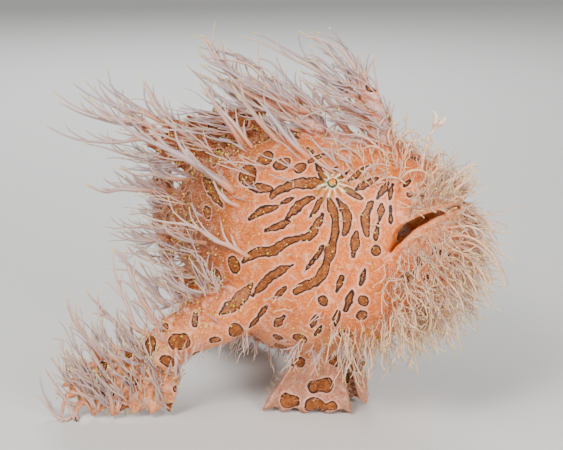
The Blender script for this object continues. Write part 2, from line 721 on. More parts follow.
def stroke_pixels(corners):
    """The pixels along a stroke, rounded off at its corners."""
    line = []
    for (x0, y0), (x1, y1) in zip(corners[:-1], corners[1:]):
        steps = max(1, int(math.hypot(x1 - x0, y1 - y0) / STROKE_STEP))
        line += [(x0 + (x1 - x0) * k / steps, y0 + (y1 - y0) * k / steps) for k in range(steps)]
    line.append(corners[-1])
    if len(corners) > 2:
        soft = np.array(line, float)
        for _ in range(STROKE_ROUNDS):
            soft[1:-1] = (soft[:-2] + 2 * soft[1:-1] + soft[2:]) / 4
        line = [tuple(p) for p in soft]
    return line


def stroke_run(width, line):
    """A stroke as places on the skin, each with a half width in millimetres."""
    long = math.hypot(line[-1][0] - line[0][0], line[-1][1] - line[0][1]) > width
    run = []
    for k, (px, py) in enumerate(line):
        place = pixel_on_skin(*towards_eye(px, py))
        if place is None or (run and np.linalg.norm(place - run[-1][0]) > STROKE_JUMP):
            continue
        size = np.linalg.norm(place - VIEW_PLACE) * PIXEL_SPREAD
        end = min(k, len(line) - 1 - k) * STROKE_STEP / width
        share = k / max(1, len(line) - 1)
        swell = min(1.0, STROKE_END + STROKE_TAPER * end)
        swell = swell * (1 + STROKE_WAVE * math.sin(share * STROKE_WAVES + px))
        run.append((place, width * size / 2 * STROKE_SHARE * (swell if long else 1.0)))
    return run


def segment_distance(points, run):
    """Distance from each point to a thick line, less its half width there."""
    best = np.full(len(points), 1e6)
    pairs = list(zip(run[:-1], run[1:])) or [(run[0], run[0])]
    for (a, wa), (b, wb) in pairs:
        along = b - a
        long = float(np.dot(along, along))
        t = np.clip((points - a) @ along / long, 0, 1) if long > 1e-9 else np.zeros(len(points))
        away = np.linalg.norm(points - a - t[:, None] * along, axis=1)
        best = np.minimum(best, away - (wa + (wb - wa) * t))
    return best


STRAY = 1.3
MIRROR_LEAST_Y = 3
MIRROR_SWELL = (0.9, 1.15)


def mirrored_strokes(lines):
    """The strokes again on the left side, each a little moved and a little larger or smaller."""
    mirrored = []
    for run in lines:
        if abs(np.mean([p[1] for p, _ in run])) < MIRROR_LEAST_Y:
            continue
        shift = RANDOM.normal(0, STRAY, 3)
        swell = RANDOM.uniform(*MIRROR_SWELL)
        places = [skin_tree.find_nearest(Vector(p * (1, -1, 1) + shift))[0] for p, _ in run]
        mirrored.append([(np.array(place), w * swell) for place, (_, w) in zip(places, run)])
    return mirrored


SPOT_TRIES = 900
SPOT_SIZE = (1.2, 2.6)
SPOT_STRETCH = (0.7, 1.0)
SPOT_ROOM = 2.0
SPOT_ROOM_BESIDE_MARKS = 2.2
SPOT_LEAST_Z = 3
SPOT_EYE_GAP = 6
BODY_MIDDLE = (10, 0, 55)
SEEN_FACING = 0.35
SEEN_FROM_X = -25
SEEN_FROM_Z = 20


def shown_in_photo(place):
    """Whether the photograph shows this place clearly enough that its marks are all in the strokes."""
    facing = np.dot(unit(place - BODY_MIDDLE), VIEW_BACK)
    return facing > SEEN_FACING and place[1] < 0 and place[0] > SEEN_FROM_X and place[2] > SEEN_FROM_Z


def add_spots(field, points):
    """Scatters spots over the skin that the strokes leave bare."""
    for _ in range(SPOT_TRIES):
        index = RANDOM.integers(len(points))
        seed = points[index]
        size = RANDOM.uniform(*SPOT_SIZE)
        if shown_in_photo(seed) or eye_distance(seed[None])[0] < SPOT_EYE_GAP or seed[2] < SPOT_LEAST_Z:
            continue
        near = np.nonzero(np.linalg.norm(points - seed, axis=1) < size + SPOT_REACH)[0]
        room = SPOT_ROOM_BESIDE_MARKS if field[near].min() < 0 else SPOT_ROOM
        if field[index] < size + room:
            continue
        other = seed + RANDOM.normal(0, STRAY, 3)
        run = [(seed, size), (other, size * RANDOM.uniform(*SPOT_STRETCH))]
        field[near] = np.minimum(field[near], segment_distance(points[near], run))


def marking_field(points):
    """Signed distance in millimetres to the nearest marking, below nought inside it."""
    field = np.full(len(points), SPOT_REACH)
    lines = [stroke_run(width, stroke_pixels(pairs(flat))) for width, *flat in STRIPES]
    lines = [run for run in lines if run]
    for run in lines + mirrored_strokes(lines):
        middle = np.mean([p for p, _ in run], axis=0)
        reach = max(np.linalg.norm(p - middle) + w for p, w in run) + SPOT_REACH
        near = np.nonzero(np.linalg.norm(points - middle, axis=1) < reach)[0]
        if len(near):
            field[near] = np.minimum(field[near], segment_distance(points[near], run))
    add_spots(field, points)
    return field


MOUTH_LINING_RADII = (17, 19, 8)

from_mouth = points - MOUTH_CENTRE
in_hollow = np.linalg.norm(from_mouth / MOUTH_LINING_RADII, axis=1) < 1
inner = in_hollow & (np.sum(from_mouth * normals, axis=1) < 0)
field = np.where(inner, SPOT_REACH, marking_field(points))


# Colour of the skin by region.

def blend(colour, other, share):
    return colour + (np.array(other)[None] - colour) * np.clip(share, 0, 1)[:, None]


def step(value, start, end):
    """0 where a value is at start, 1 where it is at end, and even in between."""
    return np.clip((value - start) / (end - start), 0, 1)


def linear(colour):
    """A colour given as the eye sees it, as light."""
    c = np.array(colour, float) / 255
    return np.where(c <= 0.04045, c / 12.92, ((c + 0.055) / 1.055) ** 2.4)


SALMON = linear((212, 112, 40))
CHEEK = linear((240, 122, 36))
PALE = linear((208, 142, 96))
LILAC = linear((164, 120, 102))
BROWN = linear((132, 66, 24))
MOUTH = linear((255, 188, 120))
SPINE_FLESH = linear((196, 160, 150))
TONGUE = linear((255, 252, 246))
CHEEK_MIDDLE = (30, 0, 62)
CHEEK_RADII = (26, 60, 26)
MOUTH_COLOUR_RADII = (16.2, 18.2, 7.2)
MOUTH_EDGE_SHARPNESS = 14
MOUTH_PATCH = (402, 231)
MOUTH_PATCH_SIZE = 4.2
MOTTLE = 0.10


def mouth_patch(points):
    """Where the pale patch lies that shows in the corner of the mouth, on either side."""
    patch = pixel_on_skin(*MOUTH_PATCH)
    away = np.minimum(*[np.linalg.norm(points - patch * (1, s, 1), axis=1) for s in (-1, 1)])
    return away < MOUTH_PATCH_SIZE * (1 + 0.5 * lumps(points, 1.3, 9))


def region_colour(points):
    x, _, z = points.T
    colour = np.repeat(SALMON[None], len(points), axis=0)
    # The warm cheek, the brown rear and the brown back.
    colour = blend(colour, CHEEK, 1 - np.linalg.norm((points - CHEEK_MIDDLE) / CHEEK_RADII, axis=1))
    colour = blend(colour, BROWN, 0.9 * step(x, 2, -14) * step(z, 34, 42))
    colour = blend(colour, BROWN, 0.65 * step(x, 14, -2) * step(z, 82, 90))
    # The pale chin, underside, feet and hands.
    colour = blend(colour, PALE, step(x, 56, 66) * 0.9)
    colour = blend(colour, PALE, step(z, 42, 26) * 0.7)
    colour = blend(colour, LILAC, step(z, 22, 14) * step(x, 2, 6) * 0.8)
    colour = blend(colour, PALE, step(x, -8, -18) * step(z, 36, 28) * 0.6)
    # The barred spines and the brown fins.
    spine = (part == "second") | (part == "third")
    bars = np.clip(np.sin(z * 1.5 + x * 0.6) * 2 - 0.7, 0, 0.8)
    colour = blend(colour, SPINE_FLESH, spine * step(z, 94, 100))
    colour = blend(colour, BROWN, spine * bars * (z > 97))
    fins = (part == "dorsal") * 0.8 + (part == "caudal") * 0.4 + (part == "anal") * 0.4
    colour = blend(colour, BROWN, fins)
    # The inside of the mouth.
    inside = np.clip(1 - np.linalg.norm((points - MOUTH_CENTRE) / MOUTH_COLOUR_RADII, axis=1), 0, 1)
    colour = blend(colour, MOUTH, inside * MOUTH_EDGE_SHARPNESS)
    return blend(colour, TONGUE, mouth_patch(points) * (inside > 0))


tint = region_colour(points) * (1 + MOTTLE * lumps(points, 5.0, 5))[:, None]


def add_scalar(mesh, name, values):
    layer = mesh.attributes.new(name, "FLOAT", "POINT")
    layer.data.foreach_set("value", np.asarray(values, np.float32))


def add_colour(mesh, name, values):
    layer = mesh.attributes.new(name, "FLOAT_COLOR", "POINT")
    rgba = np.ones((len(values), 4), np.float32)
    rgba[:, :3] = values
    layer.data.foreach_set("color", rgba.ravel())


RAYS = 11
LID_RING = 1.95
LID_RING_WIDTH = 0.32
EYE_STAR_RADIUS = 9
EYE_STAR_DEPTH = -5


def eye_rays(points):
    """Share of white, from a ring and fine rays round each eye, and of ochre, from wider rays between."""
    white = np.zeros(len(points))
    ochre = np.zeros(len(points))
    for side in (-1, 1):
        centre, outward, a, b = eye_frame(side)
        away = points - centre
        u, v = away @ a * side, away @ b
        radius = np.hypot(u, v)
        angle = np.arctan2(v, u)
        turning = angle * RAYS + 0.6 * np.sin(angle * 3)
        here = (away @ outward > EYE_STAR_DEPTH) & (radius < EYE_STAR_RADIUS)
        ring = 0.75 * np.clip(1 - np.abs(radius - LID_RING) / LID_RING_WIDTH, 0, 1)
        lines = np.clip(np.cos(turning) * 2.4 - 1.1, 0, 1)
        lines *= np.clip((4.6 + 1.2 * np.sin(angle * 5) - radius) / 1.2, 0, 1) * (radius > 1.6)
        wide = np.clip(np.cos(turning + 2.8) * 1.6 + 0.1, 0, 1)
        wide *= np.clip((6.6 + 1.5 * np.sin(angle * 3 + 1) - radius) / 2.0, 0, 1)
        white = np.where(here, np.maximum(white, np.maximum(ring, lines)), white)
        ochre = np.where(here, np.maximum(ochre, wide), ochre)
    return white, ochre


white, ochre = eye_rays(points)
add_scalar(skin.data, "spot", field)
add_scalar(skin.data, "white", white)
add_scalar(skin.data, "ochre", ochre)
add_colour(skin.data, "tint", tint)


# Materials.

class Nodes:
    """Builds a material's node tree in short steps."""

    def __init__(self, name):
        self.material = bpy.data.materials.new(name)
        self.material.use_nodes = True
        self.tree = self.material.node_tree
        self.tree.nodes.clear()
        self.output = self.add("ShaderNodeOutputMaterial")
        self.principled = self.add("ShaderNodeBsdfPrincipled")
        self.link(self.principled.outputs[0], self.output.inputs[0])

    def add(self, kind, **settings):
        node = self.tree.nodes.new(kind)
        for key, value in settings.items():
            setattr(node, key, value)
        return node

    def link(self, a, b):
        self.tree.links.new(a, b)

    def put(self, socket, value):
        if isinstance(value, bpy.types.NodeSocket):
            self.link(value, socket)
        else:
            socket.default_value = value

    def attribute(self, name, colour=False):
        node = self.add("ShaderNodeAttribute", attribute_name=name)
        return node.outputs["Color" if colour else "Fac"]

    def place(self):
        return self.add("ShaderNodeTexCoord").outputs["Object"]

    def noise(self, scale, detail=2.0, roughness=0.5):
        node = self.add("ShaderNodeTexNoise")
        self.put(node.inputs["Vector"], self.place())
        node.inputs["Scale"].default_value = scale
        node.inputs["Detail"].default_value = detail
        node.inputs["Roughness"].default_value = roughness
        return node.outputs["Fac"]

    def cells(self, scale):
        node = self.add("ShaderNodeTexVoronoi")
        self.put(node.inputs["Vector"], self.place())
        node.inputs["Scale"].default_value = scale
        return node.outputs["Distance"]

    def math(self, operation, a, b=0.0):
        node = self.add("ShaderNodeMath", operation=operation)
        self.put(node.inputs[0], a)
        self.put(node.inputs[1], b)
        return node.outputs[0]

    def wave(self, scale, detail, height):
        """Noise about nought, of a height."""
        return self.math("MULTIPLY", self.math("SUBTRACT", self.noise(scale, detail), 0.5), height)

    def ramp(self, value, low, high, to_low=0.0, to_high=1.0):
        """A smooth step of a value from low to high."""
        node = self.add("ShaderNodeMapRange", interpolation_type="SMOOTHSTEP")
        self.put(node.inputs["Value"], value)
        for socket, number in zip(("From Min", "From Max", "To Min", "To Max"), (low, high, to_low, to_high)):
            node.inputs[socket].default_value = number
        return node.outputs["Result"]

    def mix(self, share, a, b):
        node = self.add("ShaderNodeMix", data_type="RGBA")
        self.put(node.inputs[0], share)
        for socket, value in ((node.inputs[6], a), (node.inputs[7], b)):
            self.put(socket, value if isinstance(value, bpy.types.NodeSocket) else (*value, 1.0))
        return node.outputs[2]

    def bump(self, height, distance, strength):
        node = self.add("ShaderNodeBump")
        node.inputs["Strength"].default_value = strength
        node.inputs["Distance"].default_value = distance
        self.put(node.inputs["Height"], height)
        self.link(node.outputs[0], self.principled.inputs["Normal"])

    def set(self, **values):
        for key, value in values.items():
            socket = self.principled.inputs[key.replace("_", " ")]
            if isinstance(value, tuple) and len(value) == 3 and socket.type == "RGBA":
                value = (*value, 1.0)
            self.put(socket, value)

    def flesh(self, share, radius):
        """Lets some light into the surface, by a share and a radius for each colour."""
        self.set(Subsurface_Weight=share, Subsurface_Radius=radius, Subsurface_Scale=1.0)


def tone(red, green, blue):
    return tuple(linear((red, green, blue)))


FILL = tone(116, 58, 16)
FILL_LIGHT = tone(160, 90, 34)
OUTLINE = tone(40, 14, 4)
HALO = tone(238, 172, 146)
CREAM = tone(255, 246, 208)
OCHRE = tone(128, 88, 24)
FRECKLE = tone(188, 80, 30)
MILK = tone(244, 190, 164)
# Distances in millimetres from a marking's edge: its dark line, its filling and the pale halo round it.
OUTLINE_SHIFT = 0.10
OUTLINE_FADE = (0.16, 0.40)
FILL_FADE = (-0.28, -0.12)
HALO_FADE = (0.3, 1.2)


def skin_material():
    n = Nodes("skin")
    spot = n.math("ADD", n.attribute("spot"), n.math("ADD", n.wave(170, 1.0, 2.4), n.wave(600, 1.0, 0.55)))
    # Milky clouds, red freckles and pale pores on the colour by region.
    colour = n.attribute("tint", True)
    colour = n.mix(n.ramp(n.noise(260, 3.0, 0.6), 0.50, 0.72, 0.0, 0.5), colour, MILK)
    colour = n.mix(n.ramp(n.noise(900, 3.0, 0.65), 0.50, 0.64, 0.0, 0.7), colour, FRECKLE)
    colour = n.mix(n.ramp(n.cells(1300), 0.16, 0.34, 0.45, 0.0), colour, MILK)
    # The markings: halo, filling and dark line.
    colour = n.mix(n.ramp(spot, *HALO_FADE, 0.72, 0.0), colour, HALO)
    filling = n.mix(n.ramp(n.noise(700, 3.0), 0.35, 0.7), FILL, FILL_LIGHT)
    colour = n.mix(n.ramp(spot, *FILL_FADE, 1.0, 0.0), colour, filling)
    edge = n.math("ABSOLUTE", n.math("ADD", spot, OUTLINE_SHIFT))
    colour = n.mix(n.ramp(edge, *OUTLINE_FADE, 1.0, 0.0), colour, OUTLINE)
    # The star of rays round the eye.
    colour = n.mix(n.math("MULTIPLY", n.attribute("ochre"), 0.75), colour, OCHRE)
    colour = n.mix(n.math("MULTIPLY", n.attribute("white"), 0.9), colour, CREAM)
    n.set(Base_Color=colour, Roughness=0.5, Specular_IOR_Level=0.35)
    n.flesh(0.12, (0.0016, 0.0007, 0.0004))
    grain = n.math("ADD", n.math("MULTIPLY", n.cells(900), 0.7), n.noise(500, 4.0, 0.6))
    n.bump(grain, 0.00045, 0.7)
    return n.material


skin.data.materials.append(skin_material())


# The eyes.

EYE_RINGS = 40
EYE_SIDES = 64
EYE_POLE_GAP = 0.001
CORNEA_RISE = 0.10
CORNEA_WIDTH = 0.55
IRIS_SHADE_TURN = 2.2


def make_eye(side):
    """A ball with a raised cornea; each point knows its angle from the pupil's middle, in degrees."""
    centre, outward, a, b = eye_frame(side)
    points, polar, facing = [], [], []
    for r in range(EYE_RINGS + 1):
        rise = math.pi * (r + EYE_POLE_GAP) / (EYE_RINGS + 2 * EYE_POLE_GAP)
        dome = EYE_RADIUS * (1.0 + CORNEA_RISE * math.exp(-(rise / CORNEA_WIDTH) ** 2))
        for k in range(EYE_SIDES):
            turn = 2 * math.pi * k / EYE_SIDES
            aside = a * side * math.cos(turn) + b * math.sin(turn)
            points.append(centre + dome * (outward * math.cos(rise) + math.sin(rise) * aside))
            polar.append(math.degrees(rise))
            facing.append(math.cos(turn - IRIS_SHADE_TURN))
    _, faces = loft(np.array(points).reshape(EYE_RINGS + 1, EYE_SIDES, 3))
    name = "eye_look_right" if side < 0 else "eye_look_left"
    eye = face_outwards(mesh_object(name, points, faces))
    add_scalar(eye.data, "polar", polar)
    add_scalar(eye.data, "facing", facing)
    smooth_shading(eye.data)
    return eye


EYE_RED = tone(214, 66, 14)
EYE_ORANGE = tone(244, 146, 30)
EYE_GREEN = tone(168, 160, 44)
RIM_BROWN = tone(84, 52, 20)
RIM_TEAL = tone(8, 48, 52)
EYE_WHITE = tone(246, 226, 150)
IRIS_EDGE = (28, 33)
RIM_EDGE = (49, 54)


def eye_material():
    """From the middle outward: the red and green iris, a dark rim, and the pale rest of the ball."""
    n = Nodes("eye")
    polar = n.math("ADD", n.attribute("polar"), n.wave(2600, 3.0, 9.0))
    lower = n.mix(n.ramp(n.noise(1500, 3.0), 0.42, 0.58), EYE_RED, EYE_ORANGE)
    iris = n.mix(n.ramp(n.attribute("facing"), 0.2, 0.8), lower, EYE_GREEN)
    rim = n.mix(n.ramp(n.attribute("facing"), -0.6, 0.3), RIM_BROWN, RIM_TEAL)
    colour = n.mix(n.ramp(polar, *IRIS_EDGE), iris, rim)
    colour = n.mix(n.ramp(polar, *RIM_EDGE), colour, EYE_WHITE)
    n.set(Base_Color=colour, Roughness=0.2, Coat_Weight=0.3, Coat_Roughness=0.03)
    return n.material


EYE_LOOK = eye_material()
eyes = [make_eye(side) for side in (-1, 1)]
for eye in eyes:
    eye.data.materials.append(EYE_LOOK)


# The coat: tapering filaments with side branches, all of them closed tubes.

STEEP = 0.8


def strand_mesh(lines, radii, sides):
    """Points, faces and shares along, for many closed tubes of equally many points."""
    count, long = lines.shape[:2]
    ahead = unit(np.gradient(lines, axis=1))
    mean = unit(lines[:, -1] - lines[:, 0])
    helper = np.where(np.abs(mean[:, 2:3]) > STEEP, [[1.0, 0, 0]], [[0, 0, 1.0]])
    across = unit(np.cross(ahead, helper[:, None]))
    up = np.cross(ahead, across)
    turn = 2 * math.pi * np.arange(sides) / sides
    cosine, sine = np.cos(turn)[:, None], np.sin(turn)[:, None]
    ring = across[:, :, None] * cosine + up[:, :, None] * sine
    places = lines[:, :, None] + ring * radii[:, :, None, None]
    index = np.arange(count * long * sides).reshape(count, long, sides)
    after = np.roll(index, -1, axis=2)
    quads = np.stack([index[:, :-1], after[:, :-1], after[:, 1:], index[:, 1:]], axis=-1).reshape(-1, 4)
    caps = np.concatenate([index[:, 0, ::-1], index[:, -1]])
    along = np.broadcast_to(np.linspace(0, 1, long)[None, :, None], index.shape).reshape(-1)
    return places.reshape(-1, 3), quads, caps, along


def bent_lines(roots, middles, tips, steps, wave, seed):
    """Curves from root to tip by way of a middle, waving a little."""
    rng = np.random.default_rng(seed)
    t = np.linspace(0, 1, steps)[None, :, None]
    lines = roots[:, None] * (1 - t) ** 2 + 2 * middles[:, None] * t * (1 - t) + tips[:, None] * t * t
    size = np.linalg.norm(tips - roots, axis=1)[:, None, None]
    for cycles in (1.0, 2.3):
        phase = rng.uniform(0, 2 * math.pi, (len(roots), 1, 1))
        way = unit(rng.normal(size=(len(roots), 1, 3)))
        swing = np.sin(t * cycles * 2 * math.pi + phase) - np.sin(phase)
        lines = lines + way * swing * size * wave / cycles
    return lines


SUNK_REACH = 3.0
SKIN_GAP = 0.3
FLOOR_GAP = 0.3


def keep_outside(lines):
    """Moves points that have sunk into the skin back above it; roots stay."""
    for line in lines:
        for k in range(1, len(line)):
            near, normal, _, _ = skin_tree.find_nearest(Vector(line[k]))
            away = Vector(line[k]) - near
            sunk = away.length < SUNK_REACH and away.dot(normal) < -0.5 * away.length
            if away.length < SKIN_GAP or sunk:
                line[k] = np.array(near + normal * SKIN_GAP)
    lines[..., 2] = np.maximum(lines[..., 2], FLOOR_GAP)
    return lines


COAT_LIMIT = -88.5
FLOOR_ROOM = 0.05
# The place of a root round and along the body sets the small patch of the bake that its filament takes.
BAKE_LEVEL = 55
BAKE_START = -80
BAKE_LENGTH = 160
BAKE_PATCH = 0.003


class Coat:
    """Collects strands of a piece of coat and makes its mesh."""

    def __init__(self, name):
        self.name = name
        self.parts = []
        self.base = 0
        self.triangles = 0

    def add(self, lines, radii, sides, start, end, shade, roots):
        """start and end are where along the whole filament each strand begins and ends."""
        lines[..., 0] = np.maximum(lines[..., 0], COAT_LIMIT)
        lines[..., 2] = np.maximum(lines[..., 2], radii + FLOOR_ROOM)
        places, quads, caps, along = strand_mesh(lines, radii, sides)
        each = lines.shape[1] * sides
        start, end = np.repeat(start, each), np.repeat(end, each)
        self.parts.append((places, start + (end - start) * along, np.repeat(shade, each),
                           np.repeat(roots, each, axis=0), quads + self.base, caps + self.base))
        self.base += len(places)
        self.triangles += len(quads) * 2 + len(caps) * (sides - 2)

    def build(self, material):
        places, along, shade, roots = [np.concatenate([p[k] for p in self.parts]) for k in range(4)]
        faces = [f for k in (4, 5) for p in self.parts for f in p[k].tolist()]
        mesh = bpy.data.meshes.new(self.name)
        mesh.from_pydata((places * MM + ORIGIN).tolist(), [], faces)
        add_scalar(mesh, "along", along)
        add_scalar(mesh, "shade", shade)
        u = 0.5 + 0.49 * np.arctan2(roots[:, 1], roots[:, 2] - BAKE_LEVEL) / math.pi
        v = 0.01 + 0.97 * (roots[:, 0] - BAKE_START) / BAKE_LENGTH
        corners = np.zeros(len(mesh.loops), int)
        mesh.loops.foreach_get("vertex_index", corners)
        uv = np.stack([u + BAKE_PATCH * (shade - 0.5), v + BAKE_PATCH * (along - 0.5)], axis=1)[corners]
        mesh.uv_layers.new(name="OFBake").data.foreach_set("uv", uv.astype(np.float32).ravel())
        smooth_shading(mesh)
        mesh.materials.append(material)
        print(self.name, self.triangles, "triangles")
        return put_in_scene(bpy.data.objects.new(self.name, mesh))


BEAD = 0.05


def thinned(base, tip, steps, bead=0.0):
    """Radii falling from base to tip, with a small bead just before the end."""
    t = np.linspace(0, 1, steps)
    fall = (1 - t) ** 0.85
    swell = bead * np.exp(-((t - 0.97) / 0.06) ** 2)
    return base[:, None] * fall + tip * (1 - fall) + swell


TWIG_STEPS = 6
TWIG_SIDES = 4
TWIG_TIP = 0.13
TWIG_THINNER = 0.82
TWIG_WAVE = 0.02
TWIG_LONGEST = (9, 17)
TWIG_REACH = (0.35, 0.65)
TWIG_SPREAD = (0.25, 0.62)
COMB = unit(np.array([-0.25, 0.0, 0.95]))


def square_to(way, ahead):
    """A way less its part along another."""
    return unit(way - ahead * np.sum(way * ahead, axis=1, keepdims=True))


def fork(coat, lines, radii, size, shade, roots, rng, low, high, comb, reach, spread):
    """Adds one side branch to each line, sprouting between two shares of its length."""
    count, steps = lines.shape[:2]
    at = np.clip((rng.uniform(low, high, count) * (steps - 1)).astype(int), 1, steps - 2)
    which = np.arange(count)
    start = lines[which, at]
    share = at / (steps - 1)
    ahead = unit(lines[which, at + 1] - lines[which, at - 1])
    side = square_to(square_to(rng.normal(size=ahead.shape), ahead) * 0.7 + comb, ahead)
    long = size * rng.uniform(*reach, count) * (1.15 - 0.55 * share)
    long = np.minimum(long, rng.uniform(*TWIG_LONGEST, count))[:, None]
    middle = start + (ahead * 0.55 + side * 0.12) * long
    end = start + (ahead * 0.80 + side * rng.uniform(*spread, (count, 1))) * long
    twig = bent_lines(start, middle, end, TWIG_STEPS, TWIG_WAVE, rng.integers(1 << 30))
    twig[..., 2] = np.maximum(twig[..., 2], FLOOR_GAP)
    thick = thinned(radii[which, at] * TWIG_THINNER, TWIG_TIP, TWIG_STEPS, BEAD)
    coat.add(twig, thick, TWIG_SIDES, share, np.ones(count), shade, roots)


STRAND_STEPS = 9
STRAND_SIDES = 5
STRAND_TIP = 0.15
FORKING_SHARE = 0.9
# Where side branches sprout: the first place, the span they share out, and the slack of each.
FORK_FROM = 0.06
FORK_SPAN = 0.45
FORK_SLACK = 0.22


def plant(coat, roots, middles, tips, thick, rng, forks, comb, wave, spread):
    """Forking filaments on a piece of coat."""
    count = len(roots)
    lines = keep_outside(bent_lines(roots, middles, tips, STRAND_STEPS, wave, rng.integers(1 << 30)))
    shade = rng.uniform(0, 1, count)
    size = np.linalg.norm(tips - roots, axis=1)
    radii = thinned(thick, STRAND_TIP, STRAND_STEPS, BEAD)
    coat.add(lines, radii, STRAND_SIDES, np.zeros(count), np.ones(count), shade, roots)
    for k in range(forks):
        pick = rng.random(count) < FORKING_SHARE
        low = FORK_FROM + FORK_SPAN * k / forks
        fork(coat, lines[pick], radii[pick], size[pick], shade[pick], roots[pick], rng, low, low + FORK_SLACK,
             comb, TWIG_REACH, spread)


